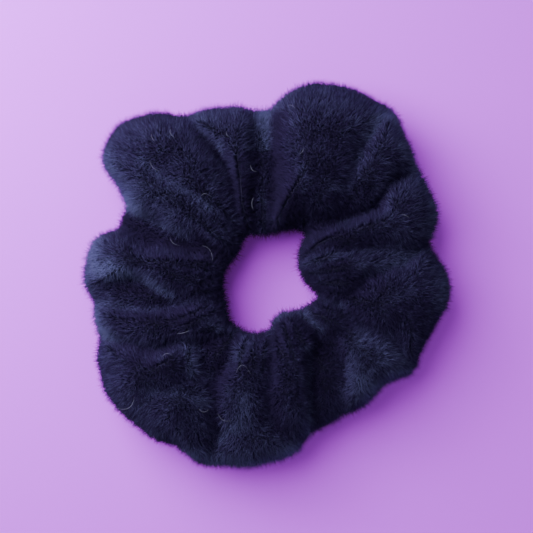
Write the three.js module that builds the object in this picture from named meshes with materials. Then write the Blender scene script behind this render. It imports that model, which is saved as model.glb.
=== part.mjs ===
// Scrunchie: a plush cover gathered on a ring of elastic, lying flat on its side.
// Millimetres, +Z up, +Y along the longest width. The floor is z = 0.
//
// The cover, the elastic and the long seam's thread are each one piece on the real object. Here each
// is divided into 13 short sections, so that rigid bodies can follow the elastic as it stretches:
// a base section opposite the closing seam, and six on each side of it that meet at the seam.

import * as THREE from "three";

// ---- driving dimensions -----------------------------------------------------------------------

const RING_CENTRE = { x: 0.5, y: -2.9 };  // axis of the elastic ring
const BASE_ANGLE = 277;                   // degrees, middle of the base section
const SECTION_ANGLE = 30;                 // degrees, one whole section

const ELASTIC_RADIUS = 25;                // middle of the band, relaxed
const ELASTIC_WIDTH = 7;                  // braided band, standing on edge
const ELASTIC_THICKNESS = 1;
const ELASTIC_HEIGHT = 12;                // band's middle line above the floor
const ELASTIC_OVERLAP = 9;                // where its two ends are stitched together

const OUTER_BULGE = 32;                   // cover's usual reach outward from the elastic
const INNER_BULGE = 11.5;                 // cover's usual reach inward from the elastic
const COVER_HEIGHT = 27;                  // usual crown of a puff above the floor
const FLOOR_PRESS = 3.5;                  // how much of the round underside is pressed flat

const SEAM_THREAD_RADIUS = 0.3;
const CLOSING_THREAD_RADIUS = 0.35;
const ZIGZAG_THREAD_RADIUS = 0.25;
const CLOSING_STITCH_INSET = 1.2;         // closing stitches, in from the cover's outside
const ZIGZAG_WIDTH = 3.6;
const ZIGZAG_LENGTH = 7;
const ZIGZAG_POINTS = 7;

const TOUCH_GAP = 0.3;                    // between pieces that touch
const CHANNEL_CLEARANCE = 0.6;            // around what the channel holds

// Differences from the usual bulges and crown, in mm: [outward, inward, crown]. Row by row they
// go counter-clockwise from the base section: the section's middle, then the crease after it.
const FOLDS = [
  { puff: [-3.5, 2.2, -2], crease: [-8.5, 3.3, -3] },
  { puff: [-7.8, 2.3, -2], crease: [-7.3, 0.4, -3] },
  { puff: [-4.4, -1.2, 0], crease: [0.6, -0.6, -3] },
  { puff: [-0.8, 2, 1], crease: [-0.2, 2.8, -2] },
  { puff: [2, 1.6, 2], crease: [8.2, -3.5, 2] },
  { puff: [9.5, -2.3, 4], crease: [5.4, 0, 1] },
  { puff: [-1.4, 1.6, -2], crease: [1.4, 2.6, -1] },
  { puff: [9.4, 2.7, 3], crease: [8.2, 2.7, 1] },
  { puff: [-5.3, 1.8, -3], crease: [1.6, 0.1, -3] },
  { puff: [0.4, -1.4, -1], crease: [1.7, -2.4, -3] },
  { puff: [5.4, -3.2, 3], crease: [4.1, -4.9, 1] },
  { puff: [2.9, -4.1, 0], crease: [0.8, -2.6, -3] },
];

// ---- derived sizes ----------------------------------------------------------------------------

const SEAM_SECTION = FOLDS.length / 2;
const SEAM_ANGLE = BASE_ANGLE + SEAM_SECTION * SECTION_ANGLE;
const SEAM_GAP = 2 * (CLOSING_THREAD_RADIUS + TOUCH_GAP);
const LAYER_SHIFT = (ELASTIC_THICKNESS + TOUCH_GAP) / 2;
const ZIGZAG_SHIFT = LAYER_SHIFT + ELASTIC_THICKNESS / 2 + TOUCH_GAP + ZIGZAG_THREAD_RADIUS;
const SEAM_THREAD_DROP = ELASTIC_WIDTH / 2 + CHANNEL_CLEARANCE + SEAM_THREAD_RADIUS;
const CHANNEL_HALF_WIDTH = ZIGZAG_SHIFT + ZIGZAG_THREAD_RADIUS + CHANNEL_CLEARANCE;
const CHANNEL_HALF_HEIGHT = SEAM_THREAD_DROP + SEAM_THREAD_RADIUS + CHANNEL_CLEARANCE;

const AROUND = 24;                        // points around a cover cross-section
const COVER_ROUNDNESS = 2.3;              // superellipse powers: 2 is round, more is squarer
const CHANNEL_ROUNDNESS = 5;

const toRadians = THREE.MathUtils.degToRad;

// ---- geometry helpers -------------------------------------------------------------------------

// A point at a radius from the ring's axis, an angle and a height, slid along the ring's tangent.
function ringPoint(radius, angle, height, slide = 0) {
  const a = toRadians(angle);
  return new THREE.Vector3(
    RING_CENTRE.x + radius * Math.cos(a) - slide * Math.sin(a),
    RING_CENTRE.y + radius * Math.sin(a) + slide * Math.cos(a),
    height,
  );
}

// Angle on the elastic's middle line that a length takes up.
function arcAngle(length) {
  return THREE.MathUtils.radToDeg(length / ELASTIC_RADIUS);
}

// Joins equal loops of points into one closed mesh. Loops run counter-clockwise seen against the
// sweep. Holes, if given, are loops inside them, left open from end to end.
function sweep(loops, holes = null, closed = false) {
  const count = loops[0].length;
  const points = [...loops.flat(), ...(holes ? holes.flat() : [])];
  const holeStart = loops.length * count;
  const index = [];
  const spans = closed ? loops.length : loops.length - 1;
  for (let i = 0; i < spans; i += 1) {
    const here = i * count;
    const next = ((i + 1) % loops.length) * count;
    for (let j = 0; j < count; j += 1) {
      const k = (j + 1) % count;
      index.push(here + j, next + j, here + k, here + k, next + j, next + k);
      if (holes) {
        const a = holeStart + here;
        const b = holeStart + next;
        index.push(a + j, a + k, b + j, a + k, b + k, b + j);
      }
    }
  }
  if (!closed) {
    addCap(index, 0, holes ? holeStart : -1, count, false);
    const last = (loops.length - 1) * count;
    addCap(index, last, holes ? holeStart + last : -1, count, true);
  }
  const geometry = new THREE.BufferGeometry();
  geometry.setAttribute(
    "position",
    new THREE.Float32BufferAttribute(points.flatMap((p) => p.toArray()), 3),
  );
  geometry.setIndex(index);
  geometry.computeVertexNormals();
  return geometry;
}

// Closes one end of a sweep: a fan, or a flat ring when there is a hole.
function addCap(index, outer, hole, count, flipped) {
  const faces = [];
  for (let j = 0; j < count; j += 1) {
    const k = (j + 1) % count;
    if (hole >= 0) {
      faces.push([outer + j, outer + k, hole + j], [outer + k, hole + k, hole + j]);
    } else if (j > 0 && j < count - 1) {
      faces.push([outer, outer + j, outer + k]);
    }
  }
  for (const [a, b, c] of faces) {
    index.push(...(flipped ? [a, c, b] : [a, b, c]));
  }
}

// A superellipse with its own reach on each of the four sides, as [radial, height] offsets.
function roundedProfile(outward, inward, up, down, power, count) {
  return Array.from({ length: count }, (_, i) => {
    const a = (2 * Math.PI * (i + 0.5)) / count;
    const c = Math.sign(Math.cos(a)) * Math.abs(Math.cos(a)) ** (2 / power);
    const s = Math.sign(Math.sin(a)) * Math.abs(Math.sin(a)) ** (2 / power);
    return [c * (c > 0 ? outward : inward), s * (s > 0 ? up : down)];
  });
}

function addMesh(group, name, geometry, material) {
  const mesh = new THREE.Mesh(geometry, material);
  mesh.name = name;
  group.add(mesh);
}

// ---- sections of the ring ---------------------------------------------------------------------

// Reaches at a place on the ring: u counts sections from the middle of the base section.
function foldAt(u) {
  const turn = ((u % FOLDS.length) + FOLDS.length) % FOLDS.length;
  const nearest = Math.round(turn);
  const puff = FOLDS[nearest % FOLDS.length].puff;
  const before = turn < nearest;
  const creaseRow = (nearest + (before ? -1 : 0) + FOLDS.length) % FOLDS.length;
  const crease = FOLDS[creaseRow].crease;
  const away = Math.abs(turn - nearest) / 0.5;
  const mix = (i) => THREE.MathUtils.lerp(puff[i], crease[i], away ** 2);
  return {
    outward: OUTER_BULGE + mix(0),
    inward: INNER_BULGE + mix(1),
    crown: COVER_HEIGHT + mix(2),
  };
}

// Every section: its name, its ends in sections from the base, and half its end gaps.
function listSections() {
  const half = TOUCH_GAP / 2;
  const sections = [{ name: "base", from: -0.5, to: 0.5, startGap: half, endGap: half }];
  for (let k = 1; k <= SEAM_SECTION; k += 1) {
    const last = k === SEAM_SECTION;
    const far = last ? k : k + 0.5;
    const farGap = last ? SEAM_GAP / 2 : half;
    sections.push({ name: `right_${k}`, from: k - 0.5, to: far, startGap: half, endGap: farGap });
    sections.push({ name: `left_${k}`, from: -far, to: 0.5 - k, startGap: farGap, endGap: half });
  }
  return sections;
}

// Places along a section for its loops: u, angle and the slide that opens the end gaps.
function stationsOf(section, count) {
  return Array.from({ length: count }, (_, i) => {
    const t = i / (count - 1);
    const u = THREE.MathUtils.lerp(section.from, section.to, t);
    return {
      u,
      angle: BASE_ANGLE + u * SECTION_ANGLE,
      slide: THREE.MathUtils.lerp(section.startGap, -section.endGap, t),
    };
  });
}

// ---- plush cover ------------------------------------------------------------------------------

// Outline of the cover at u, drawn in from its outside by an inset, with its underside flat.
function coverProfile(u, inset = 0) {
  const fold = foldAt(u);
  const outline = roundedProfile(
    fold.outward - inset,
    fold.inward - inset,
    fold.crown - ELASTIC_HEIGHT - inset,
    ELASTIC_HEIGHT + FLOOR_PRESS - inset,
    COVER_ROUNDNESS,
    AROUND,
  );
  return outline.map(([r, z]) => [r, Math.max(z, inset - ELASTIC_HEIGHT)]);
}

function loopAt(profile, angle, slide) {
  return profile.map(([r, z]) => ringPoint(ELASTIC_RADIUS + r, angle, ELASTIC_HEIGHT + z, slide));
}

function coverSection(section) {
  const stations = stationsOf(section, section.to - section.from > 0.75 ? 5 : 4);
  const channel = roundedProfile(
    CHANNEL_HALF_WIDTH,
    CHANNEL_HALF_WIDTH,
    CHANNEL_HALF_HEIGHT,
    CHANNEL_HALF_HEIGHT,
    CHANNEL_ROUNDNESS,
    AROUND,
  );
  const outside = stations.map((s) => loopAt(coverProfile(s.u), s.angle, s.slide));
  const inside = stations.map((s) => loopAt(channel, s.angle, s.slide));
  return sweep(outside, inside);
}

// ---- elastic ----------------------------------------------------------------------------------

// A flat band of the elastic at some places, each moved in or out of its middle line by a shift.
function band(places) {
  const t = ELASTIC_THICKNESS / 2;
  const w = ELASTIC_WIDTH / 2;
  const bevel = ELASTIC_THICKNESS / 4;
  const profile = [
    [t, -w + bevel],
    [t, w - bevel],
    [t - bevel, w],
    [bevel - t, w],
    [-t, w - bevel],
    [-t, bevel - w],
    [bevel - t, -w],
    [t - bevel, -w],
  ];
  return sweep(places.map(({ angle, slide, shift }) => {
    return loopAt(profile.map(([r, z]) => [r + shift, z]), angle, slide);
  }));
}

// The end sections run past the closing seam and lie one outside the other, over the overlap.
function elasticSection(section) {
  const plain = stationsOf(section, 5).map((s) => ({ ...s, shift: 0 }));
  if (section.name !== `right_${SEAM_SECTION}` && section.name !== `left_${SEAM_SECTION}`) {
    return band(plain);
  }
  const onRight = section.name.startsWith("right");
  const past = arcAngle(ELASTIC_OVERLAP / 2);
  const shift = onRight ? LAYER_SHIFT : -LAYER_SHIFT;
  const along = [-1.15, -0.4, 0.3, 1].map((f) => ({
    angle: SEAM_ANGLE + (onRight ? f : -f) * past,
    slide: 0,
    shift,
  }));
  const places = [onRight ? plain[0] : plain[plain.length - 1], ...along];
  return band(onRight ? places : places.reverse());
}

// Zigzag stitches through both layers of the overlap: one thread on each face of the band.
function zigzagThread(shift) {
  const path = Array.from({ length: ZIGZAG_POINTS }, (_, i) => new THREE.Vector2(
    (i / (ZIGZAG_POINTS - 1) - 0.5) * ZIGZAG_LENGTH,
    (i % 2 === 0 ? -0.5 : 0.5) * ZIGZAG_WIDTH,
  ));
  const r = ZIGZAG_THREAD_RADIUS;
  const loops = path.map((point, i) => {
    const before = path[Math.max(i - 1, 0)];
    const after = path[Math.min(i + 1, path.length - 1)];
    const along = after.clone().sub(before).normalize();
    const side = new THREE.Vector2(-along.y, along.x);
    const leg = (i === 0 ? after : point).clone().sub(i === 0 ? point : before).normalize();
    const miter = r / Math.abs(side.dot(new THREE.Vector2(-leg.y, leg.x)));
    return [[1, 1], [1, -1], [-1, -1], [-1, 1]].map(([m, n]) => {
      const s = point.x + side.x * miter * m;
      const z = point.y + side.y * miter * m;
      return ringPoint(ELASTIC_RADIUS + shift + r * n, SEAM_ANGLE + arcAngle(s), ELASTIC_HEIGHT + z);
    });
  });
  return sweep(loops);
}

// ---- threads ----------------------------------------------------------------------------------

// The long seam's thread runs inside the tube, under the elastic.
function seamThreadSection(section) {
  const profile = roundedProfile(
    SEAM_THREAD_RADIUS,
    SEAM_THREAD_RADIUS,
    SEAM_THREAD_RADIUS,
    SEAM_THREAD_RADIUS,
    2,
    8,
  );
  const lowered = profile.map(([r, z]) => [r, z - SEAM_THREAD_DROP]);
  const stations = stationsOf(section, 4);
  return sweep(stations.map((s) => loopAt(lowered, s.angle, s.slide)));
}

// The closing seam's thread goes once round the tube, in the gap between the two end sections.
function closingThread() {
  const path = coverProfile(SEAM_SECTION, CLOSING_STITCH_INSET);
  const sides = 6;
  const loops = path.map(([r, z], i) => {
    const [r0, z0] = path[(i + path.length - 1) % path.length];
    const [r1, z1] = path[(i + 1) % path.length];
    const out = new THREE.Vector2(z1 - z0, r0 - r1).normalize();
    return Array.from({ length: sides }, (_, j) => {
      const a = (2 * Math.PI * j) / sides;
      const o = Math.cos(a) * CLOSING_THREAD_RADIUS;
      return ringPoint(
        ELASTIC_RADIUS + r + out.x * o,
        SEAM_ANGLE,
        ELASTIC_HEIGHT + z + out.y * o,
        -Math.sin(a) * CLOSING_THREAD_RADIUS,
      );
    });
  });
  return sweep(loops, null, true);
}

// ---- the object -------------------------------------------------------------------------------

const plush = new THREE.MeshStandardMaterial({ color: 0x171629, roughness: 0.95, metalness: 0 });
const elastic = new THREE.MeshStandardMaterial({ color: 0x1c1c20, roughness: 0.8, metalness: 0 });
const thread = new THREE.MeshStandardMaterial({ color: 0x101018, roughness: 0.7, metalness: 0 });

const scrunchie = new THREE.Group();

for (const section of listSections()) {
  addMesh(scrunchie, `cover_${section.name}`, coverSection(section), plush);
  addMesh(scrunchie, `elastic_${section.name}`, elasticSection(section), elastic);
  addMesh(scrunchie, `seam_thread_${section.name}`, seamThreadSection(section), thread);
}

addMesh(scrunchie, "closing_seam_thread", closingThread(), thread);

addMesh(scrunchie, "elastic_join_needle_thread", zigzagThread(ZIGZAG_SHIFT), thread);
addMesh(scrunchie, "elastic_join_bobbin_thread", zigzagThread(-ZIGZAG_SHIFT), thread);

export default scrunchie;
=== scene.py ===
import math

import bmesh
import bpy
import numpy as np
from mathutils.bvhtree import BVHTree
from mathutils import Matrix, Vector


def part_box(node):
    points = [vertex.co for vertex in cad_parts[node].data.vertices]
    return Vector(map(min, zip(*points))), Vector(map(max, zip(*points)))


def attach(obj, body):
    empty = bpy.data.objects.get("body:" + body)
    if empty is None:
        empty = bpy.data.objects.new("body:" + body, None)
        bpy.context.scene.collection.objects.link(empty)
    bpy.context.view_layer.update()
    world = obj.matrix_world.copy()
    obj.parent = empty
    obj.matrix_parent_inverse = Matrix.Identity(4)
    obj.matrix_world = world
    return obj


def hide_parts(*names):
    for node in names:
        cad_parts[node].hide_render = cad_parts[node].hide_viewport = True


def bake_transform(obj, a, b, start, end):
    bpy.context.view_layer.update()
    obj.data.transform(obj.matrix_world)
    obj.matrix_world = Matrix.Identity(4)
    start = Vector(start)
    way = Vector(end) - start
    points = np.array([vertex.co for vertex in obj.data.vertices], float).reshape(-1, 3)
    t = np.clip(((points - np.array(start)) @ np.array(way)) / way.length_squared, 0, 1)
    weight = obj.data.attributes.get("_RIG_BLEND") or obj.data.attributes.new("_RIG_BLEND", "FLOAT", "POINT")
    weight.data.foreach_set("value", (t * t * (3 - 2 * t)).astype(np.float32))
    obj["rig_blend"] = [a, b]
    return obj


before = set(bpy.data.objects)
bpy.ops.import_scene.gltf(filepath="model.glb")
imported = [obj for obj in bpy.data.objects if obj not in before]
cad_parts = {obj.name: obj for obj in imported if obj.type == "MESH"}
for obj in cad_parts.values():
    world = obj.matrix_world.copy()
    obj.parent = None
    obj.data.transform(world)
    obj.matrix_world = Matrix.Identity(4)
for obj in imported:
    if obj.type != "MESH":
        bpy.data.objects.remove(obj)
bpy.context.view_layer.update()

# ---- Plush cover -----------------------------------------
# One strip of short-pile plush sewn into a tube and pushed up on the elastic, so that it stands in
# soft fat folds. Each fold is shaped on its own, then they are fused into one continuous cloth,
# which is cut into twelve stretches, each between the middles of two neighbouring bodies.

MM = 0.001
CLOTH_INSET = 1.6                      # cloth lies this far inside a fold's furry outline, mm
CREASE_ROUND = 1.6                     # creases are no sharper than this, mm
FOLD_MIDDLE = 12.5                     # height of a fold's widest part, mm
FOLD_BOTTOM = -0.3                     # and of its underside
ROUND_ABOVE = 2.3                      # how full a fold is above and below its widest part
ROUND_BELOW = 3.2
CLOTH_GRAIN = 0.75 * MM                # size of the cloth's mesh
SOFTENING = 11                         # rounds of smoothing on the fused folds
UNEVENNESS = 0.45                      # how far the cloth wavers in and out, mm
BASE_ANGLE = math.radians(277)         # where the base body's middle is
WEDGE = math.radians(30)               # from one body's middle to the next

# the ring that the cover is threaded on, from the seam thread under the elastic
thread_boxes = [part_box(name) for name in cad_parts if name.startswith("seam_thread")]
ring_low = np.min([low for low, high in thread_boxes], axis=0)
ring_high = np.max([high for low, high in thread_boxes], axis=0)
ring_x, ring_y = (ring_low[:2] + ring_high[:2]) / 2


def ring_angle(points):
    """Angle round the ring of each point, counted from the middle of the base body."""
    angle = np.arctan2(points[:, 1] - ring_y, points[:, 0] - ring_x)
    return (angle - BASE_ANGLE + math.pi) % (2 * math.pi) - math.pi


def ring_reach(points):
    """How far each point is from the ring's middle, seen from above, in mm."""
    return np.hypot(points[:, 0] - ring_x, points[:, 1] - ring_y) / MM


def new_mesh(name, vertices, faces):
    mesh = bpy.data.meshes.new(name)
    mesh.from_pydata([tuple(v) for v in vertices], [], [tuple(f) for f in faces])
    mesh.update()
    return place_mesh(name, mesh)


def place_mesh(name, mesh):
    piece = bpy.data.objects.new(name, mesh)
    bpy.context.scene.collection.objects.link(piece)
    return piece


def vertex_places(mesh, normals=False):
    """Where a mesh's vertices are, or which way they face."""
    flat = np.empty(len(mesh.vertices) * 3, np.float32)
    if normals:
        mesh.vertex_normals.foreach_get("vector", flat)
    else:
        mesh.vertices.foreach_get("co", flat)
    return flat.reshape(-1, 3)


def closed_curve(points, count):
    """A smooth closed curve through points, evenly spaced."""
    p = np.array(points, float)
    n = len(p)
    t = np.linspace(0, 1, 12, endpoint=False)[:, None]
    dense = []
    for i in range(n):
        a, b, c, d = p[i - 1], p[i], p[(i + 1) % n], p[(i + 2) % n]
        bend = (2 * a - 5 * b + 4 * c - d) * t ** 2 + (3 * b - 3 * c + d - a) * t ** 3
        dense.append(0.5 * (2 * b + (c - a) * t + bend))
    loop = np.vstack(dense + [dense[0][:1]])
    along = np.concatenate([[0], np.cumsum(np.linalg.norm(np.diff(loop, axis=0), axis=1))])
    at = np.linspace(0, along[-1], count, endpoint=False)
    return np.column_stack([np.interp(at, along, loop[:, k]) for k in (0, 1)])


def wall(rows, count):
    """Four-sided faces between rows of points that each go once round."""
    faces = []
    for row in range(rows - 1):
        for i in range(count):
            a, b = row * count + i, row * count + (i + 1) % count
            faces.append((a, b, b + count, a + count))
    return faces


def fold(outline, crown, top):
    """One fat fold of cloth: its furry outline and highest place seen from above, and its heights."""
    edge = closed_curve(outline, 72)
    area = np.sum(edge[:, 0] * np.roll(edge[:, 1], -1) - np.roll(edge[:, 0], -1) * edge[:, 1])
    if area < 0:
        edge = edge[::-1]
    along = np.roll(edge, -1, 0) - np.roll(edge, 1, 0)
    outward = np.column_stack([along[:, 1], -along[:, 0]]) / np.linalg.norm(along, axis=1)[:, None]
    edge = edge - outward * (CLOTH_INSET - CREASE_ROUND)
    centre = np.array(crown, float)
    steps = 10
    vertices = []
    count = len(edge)
    for step in range(1 - steps, steps):
        share = math.cos(math.pi / 2 * step / steps)
        rise = (1 - share ** (ROUND_ABOVE if step > 0 else ROUND_BELOW)) ** 0.5
        height = FOLD_MIDDLE + rise * ((top + CREASE_ROUND if step > 0 else FOLD_BOTTOM) - FOLD_MIDDLE)
        ring = centre + (edge - centre) * share
        vertices += [(x, y, height) for x, y in ring]
    vertices += [(*centre, FOLD_BOTTOM), (*centre, top + CREASE_ROUND)]
    rings = 2 * steps - 1
    faces = wall(rings, count)
    low_pole, high_pole = rings * count, rings * count + 1
    last = (rings - 1) * count
    for i in range(count):
        j = (i + 1) % count
        faces.append((low_pole, j, i))
        faces.append((last + i, last + j, high_pole))
    return vertices, faces


def core_ring(inner, outer, low, high, bay_angle, bay_depth):
    """The gathered cloth deep inside, which closes the creases between the folds. The hole has a bay."""
    around, across = 72, 20
    squareness = 0.67
    bay_width = 12
    vertices, faces = [], []
    for i in range(around):
        turn = 2 * math.pi * i / around
        off_bay = (math.degrees(turn) - bay_angle) / bay_width
        hole_edge = inner + bay_depth * math.exp(-off_bay ** 2)
        middle, half = (hole_edge + outer) / 2, (outer - hole_edge) / 2
        for j in range(across):
            a = 2 * math.pi * j / across
            out, up = (math.copysign(abs(x) ** squareness, x) for x in (math.cos(a), math.sin(a)))
            r = middle + half * out
            z = (low + high) / 2 + (high - low) / 2 * up
            vertices.append((ring_x / MM + r * math.cos(turn), ring_y / MM + r * math.sin(turn), z))
    for i in range(around):
        for j in range(across):
            a, b = i * across, (i + 1) % around * across
            k = (j + 1) % across
            faces.append((a + j, b + j, b + k, a + k))
    return vertices, faces


folds = [
    core_ring(inner=18, outer=43, low=2, high=19, bay_angle=54, bay_depth=3.2),
    # upper left: one big puff with a soft crease along it
    fold([(-8, 13), (-9, 22), (-10, 30), (-14, 36), (-19, 42), (-24, 49.8), (-30, 50.5),
          (-35, 51.3), (-41, 50.2), (-47, 47), (-50.5, 43), (-51.5, 38), (-46, 32), (-40, 28),
          (-32, 23), (-24, 19), (-16, 15)], crown=(-30, 38), top=29.5),
    fold([(-9, 7.5), (-7.5, 13), (-13, 21), (-20, 26), (-27, 31), (-34, 35), (-40, 40), (-47, 43),
          (-51.5, 40), (-52, 37), (-50.5, 33), (-48, 29), (-45, 23.5), (-43, 20.3), (-38, 18),
          (-33, 15.5), (-28, 12.5), (-20, 10), (-13, 8)], crown=(-35, 27), top=27),
    # top: a dark hump that overhangs a narrow sunken fold
    fold([(-8.5, 13), (-4.5, 13.5), (-4.2, 22), (-4, 30), (-4, 38), (-4.6, 45), (-5, 51),
          (-6.5, 53.2), (-10, 53.8), (-13, 53.3), (-17, 52.4), (-21, 51.4), (-25, 49.9),
          (-22, 45), (-17, 39), (-12, 34), (-10, 27), (-9, 20)], crown=(-10, 41), top=26),
    fold([(-6.5, 13.5), (4.5, 14.5), (4.5, 22), (4, 30), (4, 38), (4, 46), (3, 51.7), (0, 52.9),
          (-3, 52.4), (-6.5, 51.5), (-7, 45), (-7, 38), (-7, 30), (-7, 22)],
         crown=(-1, 38), top=19),
    # upper right: the biggest dome, with a second one leaning on it
    fold([(1, 14.2), (5, 15), (9, 16.4), (14, 17.8), (18, 17), (23, 18.5), (28, 21), (30, 27), (32, 33),
          (34, 38), (37, 44), (40, 50), (39.3, 52.4), (33, 56), (27, 58.6), (20, 60.4), (15, 60.6),
          (10, 59.4), (5, 56.4), (2, 52), (1, 45), (1.5, 38), (2.5, 30), (3, 22)],
         crown=(17, 42), top=30.5),
    fold([(21, 17.5), (27, 17.5), (33, 19), (37, 25), (40, 28.5), (44, 30), (47.6, 32.5), (46.3, 37),
          (45.2, 41), (43.2, 45.5), (41, 50), (38, 53), (34, 48.5), (30, 43), (26, 37), (23, 30),
          (20, 24)], crown=(37, 39), top=28),
    # right: a fold with a sharp upper edge, a low one beside the hole, and a wide dark one
    fold([(11, 7.5), (13, 10.5), (15.8, 13.2), (20, 14), (24, 15.3), (28, 17.3), (33, 19.6), (35.5, 22),
          (36.5, 25.5), (38.5, 29.5), (42, 31.5), (47.5, 33), (50, 30), (52, 26), (53.6, 22),
          (54.3, 18), (53, 13), (50.5, 9), (46, 6.5), (35, 5.5), (27, 5), (18, 5)],
         crown=(40, 18), top=27.5),
    fold([(10.6, 6.5), (11.5, 1), (14, -3.2), (17, -6.3), (20.5, -8.7), (24.5, -9.8), (28, -7.5),
          (32, -3), (38, -1), (43, 0.5), (48, 3), (51, 8.8), (46, 10), (38, 11), (28, 10.5),
          (20, 9.5), (13, 9.5)], crown=(27, 3), top=24.5),
    fold([(22, -8), (28, -1), (34, 2), (40, 4), (45, 6), (50.5, 9.3), (54, 5), (57, 0.5),
          (58.3, -3), (57.4, -9), (55, -14), (51.5, -19), (49, -24), (46.7, -29.5), (43, -27),
          (39, -23), (34, -20), (29, -18), (24, -13)], crown=(44, -8), top=27),
    # lower right: a small hump by the hole, a pale crest and a dark valley
    fold([(10.5, -12.8), (14, -10), (18, -8.3), (23, -9.5), (28, -12), (31, -17), (28, -22),
          (21, -22), (15, -18), (12, -15)], crown=(20, -14), top=20),
    fold([(24, -12), (30, -14.5), (36, -16), (42, -19), (46, -24), (46.9, -30), (42, -33),
          (37, -35.6), (33, -39.5), (29, -42.6), (25, -44), (23, -36), (23, -28), (21, -20)],
         crown=(33, -28), top=24.5),
    fold([(12.5, -20), (20, -17), (26, -20), (30, -28), (32, -36), (31, -41.6), (26, -44.4),
          (22, -46.4), (19, -48.5), (13, -50.6), (12, -45), (12, -35), (12, -27)],
         crown=(21, -35), top=19),
    # bottom: a round-nosed fold with a sharp side, its neighbour, and the wide hem below them
    fold([(1, -19), (2, -16), (5, -13.2), (9, -12.2), (13, -13.7), (16.3, -16.5), (15.3, -19.5),
          (13.8, -23), (13.6, -30), (13.3, -40), (13, -50), (10, -54.5), (4, -54), (0, -48),
          (-1, -40), (0, -30), (1, -24)], crown=(9, -31), top=26),
    fold([(-10, -20.3), (-5, -19.4), (1, -19), (3, -24), (3, -34), (3, -44), (1, -52), (-6, -55),
          (-13, -54), (-18, -48), (-18.5, -42), (-17, -36), (-14.5, -31), (-11, -26)],
         crown=(-7, -38), top=25),
    fold([(-20, -60), (-15, -60.7), (-8, -60.9), (0, -60.4), (5, -58.8), (10, -55.4), (13, -50.7),
          (8, -45), (0, -43), (-8, -43), (-15, -45), (-19, -50), (-21, -56)],
         crown=(-4, -53), top=22.5),
    # lower left: a big dark puff in two swells, with a hollow beside the hole
    fold([(-51.5, -20.5), (-53, -22.3), (-53.9, -25), (-53.3, -28), (-52, -33), (-51, -38.5),
          (-45, -43), (-35, -42), (-26, -39), (-21, -34), (-22, -26), (-25, -21.5),
          (-29, -22.8), (-34, -23.8), (-38, -23.5), (-41, -21.8), (-45, -21.3)],
         crown=(-38, -31), top=28.5),
    fold([(-52, -33), (-51, -38.5), (-47, -42.7), (-42, -47.2), (-36, -51.7), (-30, -53.3),
          (-28, -54.3), (-24, -57.8), (-19.5, -60.3), (-15, -54), (-14, -46), (-14, -38),
          (-17, -32), (-24, -30), (-32, -31), (-42, -31)], crown=(-31, -43), top=28),
    fold([(-25, -20.5), (-18, -19.5), (-10.5, -19), (-8, -23), (-11, -31), (-15, -37), (-21, -39),
          (-26, -33), (-26.5, -26)], crown=(-17, -27), top=19),
    fold([(-26.5, -21.5), (-22.5, -21.5), (-21, -28), (-18, -35), (-22, -38), (-27, -33)],
         crown=(-24, -28), top=23),
    # left: three level folds, then a sunken one under the big puff
    fold([(-55.4, -10.5), (-54.8, -14.5), (-53.7, -17.5), (-51.6, -20.8), (-46, -22.3),
          (-41, -22.8), (-36, -24.5), (-30, -24), (-25, -22), (-18, -20.5), (-11, -19), (-12.5, -14),
          (-14, -8.5), (-22, -9), (-30, -9.5), (-38, -10), (-46, -9.3)],
         crown=(-36, -17), top=24),
    fold([(-57.7, -4), (-55.2, -9.5), (-55.3, -12.8), (-46, -13), (-38, -13), (-28, -12.5),
          (-14, -11), (-15.5, -5), (-24, -4), (-30, -4), (-36, -0.5), (-43, 2), (-50, 2), (-56, 0)],
         crown=(-38, -7), top=21),
    fold([(-47, 14), (-52, 12.9), (-56, 9.4), (-57.8, 5), (-58.1, 0), (-57.6, -5.5), (-53, -4),
          (-47, -2.3), (-41, -1.8), (-36, -4.4), (-30, -8), (-24, -9), (-15.5, -7), (-14, -1),
          (-12.5, 5), (-20, 7), (-30, 8), (-38, 9), (-44, 12)], crown=(-40, 4), top=25.5),
    fold([(-43, 21.5), (-46.3, 17.6), (-47.4, 14), (-45, 8), (-38, 4.5), (-30, 4), (-20, 3.5),
          (-12, 4), (-9, 8), (-14, 13), (-24, 17), (-32, 20), (-38, 22)],
         crown=(-32, 12), top=17),
]

vertices, faces = [], []
for shape_vertices, shape_faces in folds:
    first = len(vertices)
    vertices += [(x * MM, y * MM, z * MM) for x, y, z in shape_vertices]
    faces += [tuple(first + i for i in face) for face in shape_faces]
cloth = new_mesh("plush_cloth", vertices, faces)

fuse = cloth.modifiers.new("fuse", "REMESH")
fuse.mode = "VOXEL"
fuse.voxel_size = CLOTH_GRAIN
soften = cloth.modifiers.new("soften", "SMOOTH")
soften.factor = 0.5
soften.iterations = SOFTENING
depsgraph = bpy.context.evaluated_depsgraph_get()
fused = bpy.data.meshes.new_from_object(cloth.evaluated_get(depsgraph))
cloth.modifiers.clear()
cloth.data = fused

# Gathers: small ridges fan out from the elastic, and the whole cloth is slightly uneven.
points = vertex_places(fused).astype(float)
normals = vertex_places(fused, normals=True)
turn = ring_angle(points)
gather = np.clip((34 - ring_reach(points)) / 14, 0, 1)
ridges = np.sin(turn * 31 + 1.3 * np.sin(turn * 5 + 0.7)) * 0.55 + np.sin(turn * 53 + 2.1) * 0.3
uneven = (
    np.sin(points[:, 0] / MM * 0.31 + points[:, 1] / MM * 0.17 + 1.9)
    * np.sin(points[:, 1] / MM * 0.29 - points[:, 0] / MM * 0.12 + 0.4)
)
upright = np.clip(points[:, 2] / MM / 5, 0, 1)
shift = ((ridges * gather + uneven * UNEVENNESS) * upright - CREASE_ROUND) * MM
points += normals * shift[:, None]
fused.vertices.foreach_set("co", points.astype(np.float32).ravel())
fused.update()
cloth_surface = BVHTree.FromPolygons(
    [tuple(point) for point in points], [tuple(face.vertices) for face in fused.polygons])


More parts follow.
